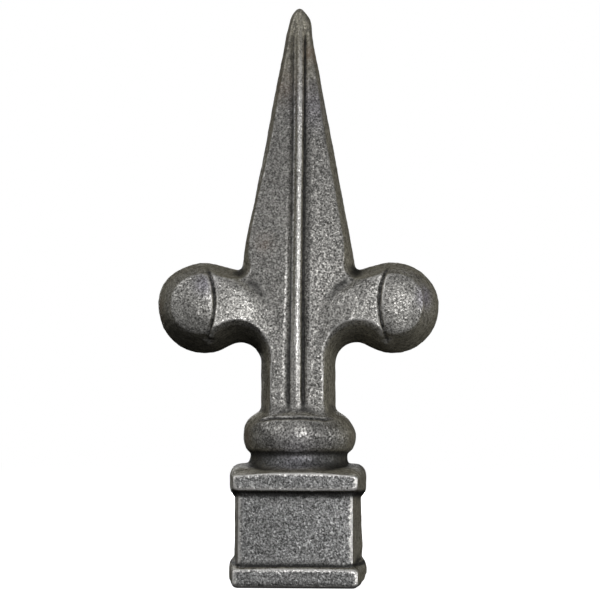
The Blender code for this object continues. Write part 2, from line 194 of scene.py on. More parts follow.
def scaled(tree, vector, factor):
    """The vector times a number."""
    return node(tree, "ShaderNodeVectorMath", {"operation": "SCALE"}, {0: vector, "Scale": factor}).outputs[0]


def parts(tree, vector):
    """The X, Y and Z of a vector."""
    return node(tree, "ShaderNodeSeparateXYZ", None, {0: vector}).outputs


def in_front_view(tree, across, up):
    """A vector with an X and a Z, and no Y."""
    return node(tree, "ShaderNodeCombineXYZ", None, {"X": across, "Z": up}).outputs[0]


def ramp(tree, value, low, high, start=0.0, end=1.0, easing="SMOOTHSTEP"):
    """A step of value from start at low to end at high."""
    made = node(
        tree,
        "ShaderNodeMapRange",
        {"interpolation_type": easing},
        {"Value": value, "From Min": low, "From Max": high, "To Min": start, "To Max": end},
    )
    return made.outputs["Result"]


def noise(tree, place, size, detail=2.0, roughness=0.5, seed=0.0):
    """Noise about 0, at most about 0.5 each way, whose blobs are about size metres across."""
    made = node(
        tree,
        "ShaderNodeTexNoise",
        {"noise_dimensions": "4D"},
        {
            "Vector": place,
            "W": seed,
            "Scale": maths(tree, "DIVIDE", 0.5, size),
            "Detail": detail,
            "Roughness": roughness,
        },
    )
    return maths(tree, "SUBTRACT", made.outputs[0], 0.5)


def scattered_bumps(tree, place, size, spacing, share, seed):
    """Round bumps 1 high and about size in radius, in a share of the cells of a loose grid."""
    shifted = vector_maths(tree, "ADD", place, (seed, seed * 2.0, seed * 3.0))
    cells = node(
        tree,
        "ShaderNodeTexVoronoi",
        {"voronoi_dimensions": "3D", "feature": "F1"},
        {"Vector": shifted, "Scale": maths(tree, "DIVIDE", 1.0, spacing), "Randomness": 1.0},
    )
    reach = maths(tree, "DIVIDE", size, spacing)
    bump = ramp(tree, cells.outputs["Distance"], reach, 0.0)
    chosen = ramp(tree, parts(tree, cells.outputs["Color"])["X"], share, share * WEAKEST_BUMP)
    return product(tree, bump, chosen)


def surface(tree, given):
    """What the forms on the skin are worked out from: the place, its facing, and if it is side or inside."""
    place = tree.nodes.new("GeometryNodeInputPosition").outputs[0]
    normal = tree.nodes.new("GeometryNodeInputNormal").outputs[0]
    across, along, up = parts(tree, place)
    facing = parts(tree, normal)
    off_middle = maths(tree, "ABSOLUTE", across)
    depth = maths(tree, "ABSOLUTE", along)
    frontness = maths(tree, "ABSOLUTE", facing["Y"])
    ragged = noise(tree, place, SIDE_EDGE_SIZE, detail=3.0, roughness=0.65, seed=5.9)
    ragged_front = sum_of(tree, frontness, product(tree, ragged, SIDE_RAGGEDNESS))
    socket_half = sum_of(tree, given["Socket Half"], SOCKET_MARGIN)
    socket_top = sum_of(tree, given["Socket Top"], SOCKET_MARGIN)
    within_walls = maths(tree, "LESS_THAN", most(tree, off_middle, depth), socket_half)
    under_crown = maths(tree, "LESS_THAN", up, socket_top)
    return SimpleNamespace(
        place=place,
        normal=normal,
        across=across,
        along=along,
        up=up,
        off_middle=off_middle,
        depth=depth,
        frontness=frontness,
        upness=facing["Z"],
        ragged=ragged,
        side=ramp(tree, ragged_front, *FRONTNESS_OF_SIDES),
        inside=product(tree, within_walls, under_crown),
    )


def sand_heights(tree, at, given):
    """The heights that the sand gave the skin: unevenness, grains, pits and pimples."""
    uneven = noise(tree, at.place, given["Unevenness Size"], detail=1.0, roughness=0.4, seed=1.3)
    sand = noise(tree, at.place, given["Sand Size"], detail=2.0, roughness=0.55, seed=4.1)
    rough = without(tree, product(tree, at.side, SIDE_SMOOTHNESS))
    spacing = given["Pit Spacing"]
    pits = scattered_bumps(tree, at.place, given["Pit Size"], spacing, PITTED_SHARE, seed=0.37)
    pimples = scattered_bumps(tree, at.place, given["Pimple Size"], spacing, PIMPLED_SHARE, seed=0.71)
    return (
        product(tree, uneven, given["Unevenness Height"]),
        product(tree, sand, given["Sand Height"], rough),
        product(tree, pits, given["Pit Depth"], -1.0),
        product(tree, pimples, given["Pimple Height"]),
    )


def seam_height(tree, at, given):
    """The height of the ridge along the middle of the sides, where the grinding left it."""
    ridge = ramp(tree, at.depth, given["Seam Width"], 0.0)
    patchy = noise(tree, at.place, SEAM_PATCH_SIZE, detail=2.0, roughness=0.6, seed=7.7)
    left = ramp(tree, patchy, *GROUND_SEAM_NOISE)
    return product(tree, ridge, left, at.side, without(tree, at.inside), given["Seam Height"])


# The faults of the casting
# Lumps where the mould crumbled, hollows where the iron ran short, and edges that were dressed up or down by
# hand. They are this casting's own.

# A name, the place in millimetres, how far it reaches, and its height.
CASTING_FAULTS = (
    ("blunt right of the point", (2.0, 0.0, 151.0), 5.0, 0.6),
    ("blunt left of the point", (-1.6, 0.0, 152.0), 3.5, 0.25),
    ("fuller left ball", (-34.5, 0.0, 78.0), 9.0, 0.8),
    ("flash at the left ball's groove", (-22.7, -9.6, 64.0), 1.5, 0.5),
    ("lip at the right ball's groove", (20.6, -9.4, 66.2), 1.7, 0.6),
    ("swollen side of the body", (16.6, -3.0, 9.8), 6.5, 0.6),
    ("full right end of the lower band", (18.2, -6.0, 3.2), 4.0, 0.45),
    ("drooping end of the lower band", (16.5, -15.0, 5.4), 3.0, -0.35),
    ("lean right ball's shoulder", (35.0, -8.5, 71.0), 7.0, -0.7),
)

# How far each edge across the front was dressed up or down at its ends: a name, its level, the shift.
BOWED_EDGES = (
    ("upper band's top", 29.6, -0.95),
    ("upper band's underside", 22.0, 0.4),
    ("lower band's top", 6.9, -0.5),
)
BOWED_REACH = 3.0 * MM
ENDS_OFF_MIDDLE = (4.0 * MM, 17.5 * MM)
ENDS_ALONG = (-9.0 * MM, -15.0 * MM)


def spots(tree, place, listed, unit=1.0):
    """The sum of soft round spots at the listed places, with their amounts in the unit."""
    total = 0.0
    for name, centre, reach, amount in listed:
        distance = vector_maths(tree, "DISTANCE", place, tuple(c * MM for c in centre))
        spot = ramp(tree, distance, reach * MM, 0.0, 0.0, amount * unit)
        spot.node.label = name
        total = sum_of(tree, total, spot)
    return total


def bowed_edges(tree, at):
    """How far the bands' edges are raised towards their ends."""
    raised = 0.0
    for name, level, shift in BOWED_EDGES:
        bow = ramp(tree, apart(tree, at.up, level * MM), BOWED_REACH, 0.0, 0.0, shift * MM)
        bow.node.label = name
        raised = sum_of(tree, raised, bow)
    at_ends = product(
        tree, ramp(tree, at.off_middle, *ENDS_OFF_MIDDLE), ramp(tree, at.along, *ENDS_ALONG)
    )
    return product(tree, raised, at_ends)


# The ring and the foot of the stem
# The ring was turned on the pattern. A crease runs round its front, the corner between it and the stem ran
# full of iron, and it sits a little to the right, because the mould's halves met askew.

RING_SIZES = {
    "Foot Level": 44.9 * MM,
    "Foot Reach": 2.6 * MM,
    "Crease Level": 42.3 * MM,
    "Crease Depth": 0.4 * MM,
    "Ring Shift": 0.35 * MM,
    "Ring Level": 36.0 * MM,
    "Ring Rise": 0.6 * MM,
    "Ring Underside": 33.0 * MM,
}
FOOT_FILL_STEPS = 26
CREASE_WANDER = 2.2 * MM
CREASE_WANDER_SIZE = 2.6 * MM
CREASE_WIDTH = 0.6 * MM
CREASE_OFF_MIDDLE = (11.5 * MM, 8.0 * MM)
CREASE_ALONG = (-9.0 * MM, -11.0 * MM)
UNDERSIDE_REACH = 2.2 * MM
RING_FROM_LEVEL = (6.0 * MM, 2.5 * MM)


def blurred(tree, place, steps):
    """The place, evened out with its neighbours a number of times."""
    settings = {"data_type": "FLOAT_VECTOR"}
    return node(tree, "GeometryNodeBlurAttribute", settings, {"Value": place, "Iterations": steps}).outputs[0]


def foot_fill(tree, at, given):
    """The offset that fills the corner at the stem's foot."""
    filled = vector_maths(tree, "SUBTRACT", blurred(tree, at.place, FOOT_FILL_STEPS), at.place)
    near_foot = ramp(tree, apart(tree, at.up, given["Foot Level"]), given["Foot Reach"], 0.0)
    return scaled(tree, filled, near_foot)


def ring_crease(tree, at, given):
    """Where the crease runs round the ring's front."""
    wander = product(tree, noise(tree, at.place, CREASE_WANDER_SIZE, detail=1.0, seed=11.3), CREASE_WANDER)
    return product(
        tree,
        ramp(tree, apart(tree, sum_of(tree, at.up, wander), given["Crease Level"]), CREASE_WIDTH, 0.0),
        ramp(tree, at.off_middle, *CREASE_OFF_MIDDLE),
        ramp(tree, at.along, *CREASE_ALONG),
    )


def ring_rise(tree, at, given):
    """How far the ring's underside is raised."""
    near = ramp(tree, apart(tree, at.up, given["Ring Underside"]), UNDERSIDE_REACH, 0.0)
    return product(tree, near, given["Ring Rise"])


def ring_shift(tree, at, given):
    """How far the ring stands to the right."""
    near = ramp(tree, apart(tree, at.up, given["Ring Level"]), *RING_FROM_LEVEL)
    return product(tree, near, given["Ring Shift"])


# The balls
# The two balls end the arms. They are a little rounder than the solid between their parting and their caps,
# and the groove that divides each from its arm is cut sharper at its bottom.

BALL_SIZES = {
    "Ball Groove Middle": 42.9 * MM,
    "Ball Groove Level": 72.3 * MM,
    "Ball Groove Radius": 21.5 * MM,
    "Ball Groove Depth": 0.15 * MM,
    "Ball Fullness": 0.6 * MM,
}
BALL_FROM_PARTING = (0.8 * MM, 4.5 * MM)
BALL_TO_CAP = (10.5 * MM, 6.0 * MM)
BALL_OFF_MIDDLE = (22.0 * MM, 28.0 * MM)
BALL_UPNESS = (-0.75, -0.1)
GROOVE_WIDTH = (0.62 * MM, 0.12 * MM)
GROOVE_FROM_LEVEL = (11.0 * MM, 8.5 * MM)
GROOVE_FRONTNESS = (0.2, 0.5)


def ball_fullness(tree, at, given):
    """The height that the balls are rounder by."""
    return product(
        tree,
        ramp(tree, at.depth, *BALL_FROM_PARTING),
        ramp(tree, at.depth, *BALL_TO_CAP),
        ramp(tree, at.off_middle, *BALL_OFF_MIDDLE),
        ramp(tree, at.upness, *BALL_UPNESS),
        at.side,
        given["Ball Fullness"],
    )


def ball_groove(tree, at, given):
    """Where the bottom of each ball's groove runs, on an arc in the front view."""
    middle = in_front_view(tree, given["Ball Groove Middle"], given["Ball Groove Level"])
    from_middle = vector_maths(tree, "DISTANCE", in_front_view(tree, at.off_middle, at.up), middle)
    return product(
        tree,
        ramp(tree, apart(tree, from_middle, given["Ball Groove Radius"]), *GROOVE_WIDTH),
        ramp(tree, apart(tree, at.up, given["Ball Groove Level"]), *GROOVE_FROM_LEVEL),
        ramp(tree, at.frontness, *GROOVE_FRONTNESS),
    )


# The blade and its rib
# The rib runs up the middle of the stem and the blade, between two grooves. It stands fuller on its right
# and slants a little, with a fine valley beside it. The blade's side walls stand out more away from the
# parting, most of all on the left.

BLADE_SIZES = {
    "Rib Slant": 0.4 * MM,
    "Rib Lean": 0.22 * MM,
    "Rib Half": 1.1 * MM,
    "Left Wall Lean": -1.1 * MM,
    "Right Wall Lean": 0.45 * MM,
    "Valley Depth": 0.22 * MM,
}
RIB_OFF_MIDDLE = (7.0 * MM, 3.5 * MM)
RIB_TOP_OFF_MIDDLE = (1.5 * MM, 0.8 * MM)
RIB_FRONTNESS = (0.1, 0.5)
RIB_FROM_FOOT = (42.0 * MM, 50.0 * MM)
SLANT_LEVELS = (40.0 * MM, 125.0 * MM)
SLANT_SHARES = (-0.65, 0.35)
VALLEY_MIDDLE = 2.7 * MM
VALLEY_SLANT_SHARE = -0.3
VALLEY_WIDTH = (1.1 * MM, 0.3 * MM)
VALLEY_FROM_ARMS = (56.0 * MM, 64.0 * MM)
VALLEY_TO_POINT = (125.0 * MM, 112.0 * MM)
BLADE_LEVELS = (84.0 * MM, 147.0 * MM)
BLADE_HALVES = (15.0 * MM, 2.2 * MM)
WALL_OFF_MIDDLE = (0.35, 0.8)
WALL_FROM_PARTING = (1.5 * MM, 5.0 * MM)
WALL_FROM_FOOT = (80.0 * MM, 86.0 * MM)
WALL_TO_POINT = (122.0 * MM, 88.0 * MM)
WALL_CHANGES_SIDE = (-1.0 * MM, 1.0 * MM)


def rib_reach(tree, at):
    """Where the front is close to the rib."""
    return product(
        tree,
        ramp(tree, at.off_middle, *RIB_OFF_MIDDLE),
        ramp(tree, at.frontness, *RIB_FRONTNESS),
        ramp(tree, at.up, *RIB_FROM_FOOT),
    )


def rib_lean(tree, at, near_rib, given):
    """The height that the rib is fuller by on its right and leaner by on its left."""
    on_rib = product(tree, near_rib, ramp(tree, at.off_middle, *RIB_TOP_OFF_MIDDLE))
    rightness = maths(tree, "DIVIDE", at.across, given["Rib Half"])
    return product(tree, on_rib, rightness, given["Rib Lean"])


def rib_shift(tree, at, near_rib, given):
    """How far the rib stands to the right, which changes from its foot to its top."""
    slant = ramp(tree, at.up, *SLANT_LEVELS, *SLANT_SHARES)
    return product(tree, near_rib, slant, given["Rib Slant"])


def rib_valley(tree, at, near_rib, given):
    """Where the fine valley runs to the right of the rib."""
    slanted = product(tree, near_rib, given["Rib Slant"], VALLEY_SLANT_SHARE)
    from_rib = maths(tree, "SUBTRACT", at.across, slanted)
    return product(
        tree,
        near_rib,
        ramp(tree, apart(tree, from_rib, VALLEY_MIDDLE), *VALLEY_WIDTH),
        ramp(tree, at.up, *VALLEY_FROM_ARMS),
        ramp(tree, at.up, *VALLEY_TO_POINT),
    )


def wall_shift(tree, at, given):
    """How far the blade's side walls stand further out, away from the parting."""
    blade_half = ramp(tree, at.up, *BLADE_LEVELS, *BLADE_HALVES, easing="LINEAR")
    wall = product(
        tree,
        ramp(tree, maths(tree, "DIVIDE", at.off_middle, blade_half), *WALL_OFF_MIDDLE),
        ramp(tree, at.depth, *WALL_FROM_PARTING),
        ramp(tree, at.up, *WALL_FROM_FOOT),
        ramp(tree, at.up, *WALL_TO_POINT),
    )
    lean = ramp(tree, at.across, *WALL_CHANGES_SIDE, given["Left Wall Lean"], given["Right Wall Lean"])
    return product(tree, wall, lean)


# Worn, highlit, rusted and shaded places
# The tumbler wore what stands out, most of all the rib and the petals, and painted highlights brighten the
# petals, the caps, the ring, the neck and the rib. Painted shade darkens the corners and lines, rust bloomed
# at the point and the rims, and some places cooled a little blue.

# A name, the place in millimetres, how far it reaches, and how much.
# Painted highlights: bright spots where the light falls on the petals, caps, blade, ring, neck and body.
PAINTED_HIGHLIGHT_PLACES = (
    ("left petal", (-14.5, -11.5, 71.5), 10.5, 1.6),
    ("right petal", (16.5, -10.5, 69.0), 9.0, 0.6),
    ("right ball's cap", (26.0, -12.0, 73.5), 8.5, 0.75),
    ("low on the right ball's cap", (27.5, -11.0, 66.5), 4.0, 1.3),
    ("low on the left ball's cap", (-31.0, -9.5, 68.5), 5.0, 0.8),
    ("top of the left ball's cap", (-23.0, -12.0, 77.5), 5.0, 0.4),
    ("foot of the blade", (4.0, -9.5, 80.0), 13.0, 0.25),
    ("front of the ring", (1.2, -14.9, 39.4), 3.4, 2.2),
    ("left of the ring's front", (-4.0, -14.2, 38.8), 3.2, 1.1),
    ("front of the neck", (0.0, -13.2, 32.4), 8.0, 1.8),
    ("right of the body", (12.0, -16.0, 14.0), 14.0, 0.3),
)
RUSTED_PLACES = (
    ("left of the blade", (-8.6, -8.5, 88.5), 4.5, 0.5),
    ("left of the point", (-4.4, -3.5, 132.0), 8.0, 0.45),
    ("right of the point", (4.0, -3.0, 141.0), 5.0, 0.8),
    ("left ball's rim", (-36.0, -3.0, 71.0), 6.0, 0.6),
    ("left of the ring", (-13.5, -6.0, 38.0), 4.5, 0.7),
    ("right of the ring", (14.0, -4.0, 38.0), 4.0, 0.4),
)
BLUED_PLACES = (
    ("right of the blade", (4.5, -5.5, 127.0), 11.0, 0.5),
    ("right ball's rim", (33.5, -9.0, 74.0), 5.0, 1.0),
    ("left ball's cap", (-24.0, -12.0, 77.5), 5.0, 0.7),
    ("front of the neck", (0.0, -13.0, 32.5), 10.0, 0.45),
)

# Levels where painted shade runs all round: a name, the level in millimetres, how far it reaches, how dark.
SHADED_LEVELS = (
    ("under the ring", 33.5, 1.1, 0.85),
    ("above the upper band", 31.2, 2.0, 0.7),
    ("under the upper band", 23.3, 1.3, 0.97),
    ("above the lower band", 5.6, 0.6, 0.95),
    ("foot of the lower band", 0.4, 1.1, 0.85),
)
# Painted shade: dark bands at these levels, and darkening in the ball grooves, the ring's crease and the
# rib's valley.
SHADE_WAVER = 0.9
SHADE_CORE = 0.35
SHADE_IN_GROOVE = 0.75
SHADE_IN_VALLEY = 0.45
# Painted shade on the surfaces that face down on the left, under the left arm.
UNDERSIDE_SHADE = 0.55
UNDERSIDE_SHADE_UPNESS = (-0.1, -0.7)
UNDERSIDE_SHADE_ACROSS = (2.0 * MM, -8.0 * MM)
UNDERSIDE_SHADE_FROM = (52.0 * MM, 56.0 * MM)

EDGE_STEPS = 6
EDGE_STANDS_OUT = 0.1 * MM
HOLLOW_STEPS = 60
HOLLOW_LIES_IN = 0.4 * MM
SPEAR_DEPTH = (2.5 * MM, 12.5 * MM)
SPEAR_RUB = 0.9
BASE_RUB = 0.38
BASE_BELOW_SPEAR = (47.0 * MM, 43.0 * MM)

# The rib's crest is painted with a bright highlight line, and a fainter second line on the stem.
CREST_MIDDLE = 0.38 * MM
CREST_WIDTH = (0.62 * MM, 0.14 * MM)
CREST_WIDENS = (80.0 * MM, 46.0 * MM)
CREST_WIDEST = 1.6
CREST_FRONTNESS = (0.3, 0.7)
CREST_BRIGHTENS = (45.5 * MM, 75.0 * MM)
CREST_AT_FOOT = 0.45
CREST_FADES = (150.0 * MM, 118.0 * MM)
CREST_AT_POINT = 0.1
CREST_FROM_RING = (44.5 * MM, 47.0 * MM)
SECOND_MIDDLE = -0.9 * MM
SECOND_WIDTH = (0.5 * MM, 0.1 * MM)
SECOND_FADES = (78.0 * MM, 66.0 * MM)
SECOND_BRIGHTNESS = 0.35
FLANK_LEFT = (-1.7 * MM, -1.2 * MM)
FLANK_RIGHT = (0.3 * MM, -0.3 * MM)
FLANK_HIGHLIGHT = 0.55
FLANK_LESS_SHADE = 0.7


def mix_number(tree, share, a, b):
    """A share of b in place of a."""
    return node(tree, "ShaderNodeMix", {"data_type": "FLOAT"}, {0: share, 2: a, 3: b}).outputs[0]


def swell(tree, at, steps, scale):
    """How far the surface stands out from its own surroundings: above 0 on edges, below 0 in hollows."""
    from_blurred = vector_maths(tree, "SUBTRACT", at.place, blurred(tree, at.place, steps))
    return maths(tree, "DIVIDE", vector_maths(tree, "DOT_PRODUCT", from_blurred, at.normal), scale)


def rib_crest_highlight(tree, at, from_middle, near_rib):
    """The painted highlight along the rib's worn crest, and the fainter one to its left on the stem."""
    widening = ramp(tree, at.up, *CREST_WIDENS, 1.0, CREST_WIDEST)
    from_crest = maths(tree, "DIVIDE", apart(tree, from_middle, CREST_MIDDLE), widening)
    crest = product(
        tree,
        ramp(tree, from_crest, *CREST_WIDTH),
        ramp(tree, at.frontness, *CREST_FRONTNESS),
        ramp(tree, at.up, *CREST_BRIGHTENS, CREST_AT_FOOT, 1.0),
        ramp(tree, at.up, *CREST_FADES, CREST_AT_POINT, 1.0),
        ramp(tree, at.up, *CREST_FROM_RING),
    )
    second = product(
        tree,
        ramp(tree, apart(tree, from_middle, SECOND_MIDDLE), *SECOND_WIDTH),
        near_rib,
        ramp(tree, at.up, *SECOND_FADES, 0.0, SECOND_BRIGHTNESS),
    )
    return most(tree, crest, second)


def dirt(tree, at, crease, groove, valley):
    """How dark the painted shade is in the sharp lines, under the left arm, and round the bands and the ring.
    """
    shaded_undersides = product(
        tree,
        ramp(tree, at.upness, *UNDERSIDE_SHADE_UPNESS, 0.0, UNDERSIDE_SHADE),
        ramp(tree, at.across, *UNDERSIDE_SHADE_ACROSS),
        ramp(tree, at.up, *UNDERSIDE_SHADE_FROM),
    )
    in_lines = product(tree, groove, SHADE_IN_GROOVE), product(tree, valley, SHADE_IN_VALLEY)
    darkness = most(tree, crease, *in_lines, shaded_undersides)
    for name, level, reach, dark in SHADED_LEVELS:
        wavering = sum_of(tree, at.up, product(tree, at.ragged, reach * SHADE_WAVER * MM))
        from_level = apart(tree, wavering, level * MM)
        band = ramp(tree, from_level, reach * MM, reach * SHADE_CORE * MM, 0.0, dark)
        band.node.label = name
        darkness = most(tree, darkness, band)
    return darkness


def finish_notes(tree, at, near_rib, rib_offset):
    """What the finish depends on, apart from the painted shade, by the name that it is noted under; some
    notes carry painted highlights.
    """
    from_middle = maths(tree, "SUBTRACT", at.across, rib_offset)
    # The rib's left flank is painted lighter, a painted highlight, and kept out of the painted shade.
    flank = product(
        tree, near_rib, ramp(tree, from_middle, *FLANK_LEFT), ramp(tree, from_middle, *FLANK_RIGHT)
    )
    on_base = ramp(tree, at.up, *BASE_BELOW_SPEAR)
    rubbed = mix_number(tree, on_base, ramp(tree, at.depth, *SPEAR_DEPTH, 0.0, SPEAR_RUB), BASE_RUB)
    hollow = product(tree, swell(tree, at, HOLLOW_STEPS, HOLLOW_LIES_IN), -1.0)
    return {
        "edge": swell(tree, at, EDGE_STEPS, EDGE_STANDS_OUT),
        "hollow": product(tree, hollow, without(tree, product(tree, flank, FLANK_LESS_SHADE))),
        "side": at.side,
        "inside": at.inside,
        "rubbed": sum_of(
            tree, rubbed, spots(tree, at.place, PAINTED_HIGHLIGHT_PLACES), product(tree, flank, FLANK_HIGHLIGHT)
        ),
        "crest": rib_crest_highlight(tree, at, from_middle, near_rib),
        "rust": spots(tree, at.place, RUSTED_PLACES),
        "blue": spots(tree, at.place, BLUED_PLACES),
    }


# The finish
# The colour is bare grey iron with a thin skin of scale, browner on the fettled sides and bluer below the
# ring,
# brighter on the edges and high grains that wore in the tumbler. Light and shade are painted on as well:
# painted highlights on the edges, the rib's crest and listed places, and painted shade in the hollows, the
# lines, under the left arm, round the bands and the ring, and inside the socket.

IRON_DARK = (0.032, 0.031, 0.028, 1.0)
IRON_BARE = (0.9, 0.88, 0.835, 1.0)
# Near-white iron for worn edges and painted highlights.
WORN_AND_HIGHLIT_IRON = (1.0, 0.98, 0.945, 1.0)
SIDE_DARK = (0.11, 0.1, 0.077, 1.0)
SIDE_LIGHT = (0.47, 0.44, 0.345, 1.0)
RUST_BROWN = (0.26, 0.165, 0.11, 1.0)
SCALE_BLUE = (0.97, 0.99, 1.035, 1.0)
HEAT_BLUE = (0.82, 0.8, 1.0, 1.0)
PAINTED_SHADE_BLACK = (0.012, 0.012, 0.011, 1.0)
METALLIC = 0.55
PATCH_SIZE = 9.0 * MM
CLOT_SIZE = 1.1 * MM
GRAIN_SIZE = 0.22 * MM
GRAIN_STANDS_OUT = 0.16 * MM
GRAIN_STRENGTH = 0.9

BASE_FROM_RING = (36.0 * MM, 31.0 * MM)
GRAIN_CONTRAST = 0.98
WEAR_AND_HIGHLIGHT_CONTRAST = 0.4
PATCH_LIFT = 0.12
CLOT_LIFT = 0.14
WEAR_AND_HIGHLIGHT_LIFT = 0.15
RING_FROM_NECK = (32.5 * MM, 34.5 * MM)
RING_TO_STEM = (46.0 * MM, 43.0 * MM)
RING_MOTTLING = 0.3
RING_DARKENING = -0.035
FLECK_GAIN = 1.1
FLECK_LEVEL = 0.38
FLECK_POWER = 1.75

STREAK_SIZE = 0.3 * MM
STREAK_SQUEEZE = (0.5, 1.0, 0.5)
STREAKS_SHARE = 1.1
SIDE_CLOTS_SHARE = 0.3
SIDE_GRAIN_SHARE = 0.9
SIDE_TONES = (-0.45, 0.5)
SIDE_COVER = 0.95
BROWN_POINT = (122.0 * MM, 148.0 * MM)
POINT_COVER = 0.75

RUST_FILM_SIZE = 6.0 * MM
RUST_FILM_NOISE = (0.14, 0.3)
RUST_FILM = 0.3
RUST_SPECKLES = (-0.15, 0.2)
RUST_BETWEEN = 0.35
RUST_COVER = 0.6

# Painted shade in the hollows: how deep in a hollow the darkening starts and is whole, and how dark it gets.
GRAIN_IN_CREVICES = 0.6
CREVICE_DEPTHS = (0.15, 1.1)
CREVICE_COVER = 0.9
INSIDE_COVER = 0.85

# Edges lightened by wear and by painted highlights: how far they stand out, and how much on the arms and
# blade.
EDGE_WEAR_AND_HIGHLIGHT = (0.3, 1.1)
ARM_WEAR_AND_HIGHLIGHT = 0.45
BLADE_WEAR_AND_HIGHLIGHT = 0.03
BLADE_FROM_ARMS = (80.0 * MM, 86.0 * MM)
SIDE_SPARED = 0.7
CREST_BROKEN = (-0.3, 0.04)
CREST_BETWEEN = 0.35

GRAIN_GLOSS = (-0.2, 0.25)
DULL_ROUGHNESS = 0.62
CLEAN_ROUGHNESS = 0.4
SIDE_ROUGHNESS = 0.12
WORN_ROUGHNESS = 0.28


def mix_colour(tree, share, a, b, blend="MIX"):
    """A share of b over a."""
    made = node(tree, "ShaderNodeMix", {"data_type": "RGBA", "blend_type": blend}, {0: share, 6: a, 7: b})
    return made.outputs[2]


def noted_value(tree, name):
    """What the skin noted under the name."""
    return node(tree, "ShaderNodeAttribute", {"attribute_name": name}).outputs["Fac"]


def bare_faces(tree, at):
    """Dark sand-burnt pits between grains that wore bright, bluer below the ring, lighter where wear and
    painted highlights are.
    """
    patches = noise(tree, at.place, PATCH_SIZE, seed=2.5)
    on_ring = product(tree, ramp(tree, at.up, *RING_FROM_NECK), ramp(tree, at.up, *RING_TO_STEM))
    mottling = maths(tree, "MULTIPLY_ADD", at.clots, RING_MOTTLING, RING_DARKENING)
    lift = sum_of(
        tree,
        product(tree, patches, PATCH_LIFT),
        product(tree, at.clots, CLOT_LIFT),
        product(tree, at.rubbed, WEAR_AND_HIGHLIGHT_LIFT),
        product(tree, on_ring, mottling),
    )
    contrast = sum_of(tree, GRAIN_CONTRAST, product(tree, at.rubbed, WEAR_AND_HIGHLIGHT_CONTRAST))
    flecks = sum_of(tree, product(tree, at.grain, contrast), lift)
    level = most(tree, maths(tree, "MULTIPLY_ADD", flecks, FLECK_GAIN, FLECK_LEVEL), 0.0)
    colour = mix_colour(tree, maths(tree, "POWER", level, FLECK_POWER), IRON_DARK, IRON_BARE)
    return mix_colour(tree, at.base, colour, mix_colour(tree, 1.0, colour, SCALE_BLUE, "MULTIPLY"))


def fettled_sides(tree, at, colour):
    """The colour with the sides and the point over it, which are browner and streaked by the file."""
    squeezed = vector_maths(tree, "MULTIPLY", at.place, STREAK_SQUEEZE)
    streaks = noise(tree, squeezed, STREAK_SIZE, detail=1.0, seed=8.5)
    worked = sum_of(
        tree,
        product(tree, streaks, STREAKS_SHARE),
        product(tree, at.clots, SIDE_CLOTS_SHARE),
        product(tree, at.grain, SIDE_GRAIN_SHARE),
    )
    filed = mix_colour(tree, ramp(tree, worked, *SIDE_TONES), SIDE_DARK, SIDE_LIGHT)
    at_point = ramp(tree, at.up, *BROWN_POINT, 0.0, POINT_COVER)
    return mix_colour(tree, most(tree, product(tree, at.side, SIDE_COVER), at_point), colour, filed)


def bloomed(tree, at, colour):
    """The colour with a film of rust, speckled where it is thick, and a blue tint on the blued places."""
    film = noise(tree, at.place, RUST_FILM_SIZE, detail=3.0, roughness=0.6, seed=9.5)
    speckle = ramp(tree, at.clots, *RUST_SPECKLES, RUST_BETWEEN, 1.0)
    rust = sum_of(
        tree,
        ramp(tree, film, *RUST_FILM_NOISE, 0.0, RUST_FILM),
        product(tree, at.rust, RUST_COVER, speckle),
    )
    rusted = mix_colour(tree, rust, colour, RUST_BROWN)
    return mix_colour(tree, at.blue, rusted, mix_colour(tree, 1.0, rusted, HEAT_BLUE, "MULTIPLY"))


def wear_and_painted_highlights(tree, at, painted_shade_share):
    """How bright the edges, high grains and the rib's crest are made: wear on the edges and grains, with
    painted highlights there and on the crest.
    """
    on_spear = ramp(tree, at.up, *BLADE_FROM_ARMS, ARM_WEAR_AND_HIGHLIGHT, BLADE_WEAR_AND_HIGHLIGHT)
    on_edges = product(
        tree,
        ramp(tree, sum_of(tree, at.edge, at.grain), *EDGE_WEAR_AND_HIGHLIGHT),
        mix_number(tree, at.base, on_spear, 1.0),
        without(tree, product(tree, at.side, SIDE_SPARED)),
        without(tree, painted_shade_share),
    )
    broken = ramp(tree, sum_of(tree, at.grain, at.clots), *CREST_BROKEN, CREST_BETWEEN, 1.0)
    return most(tree, on_edges, product(tree, at.crest, broken))


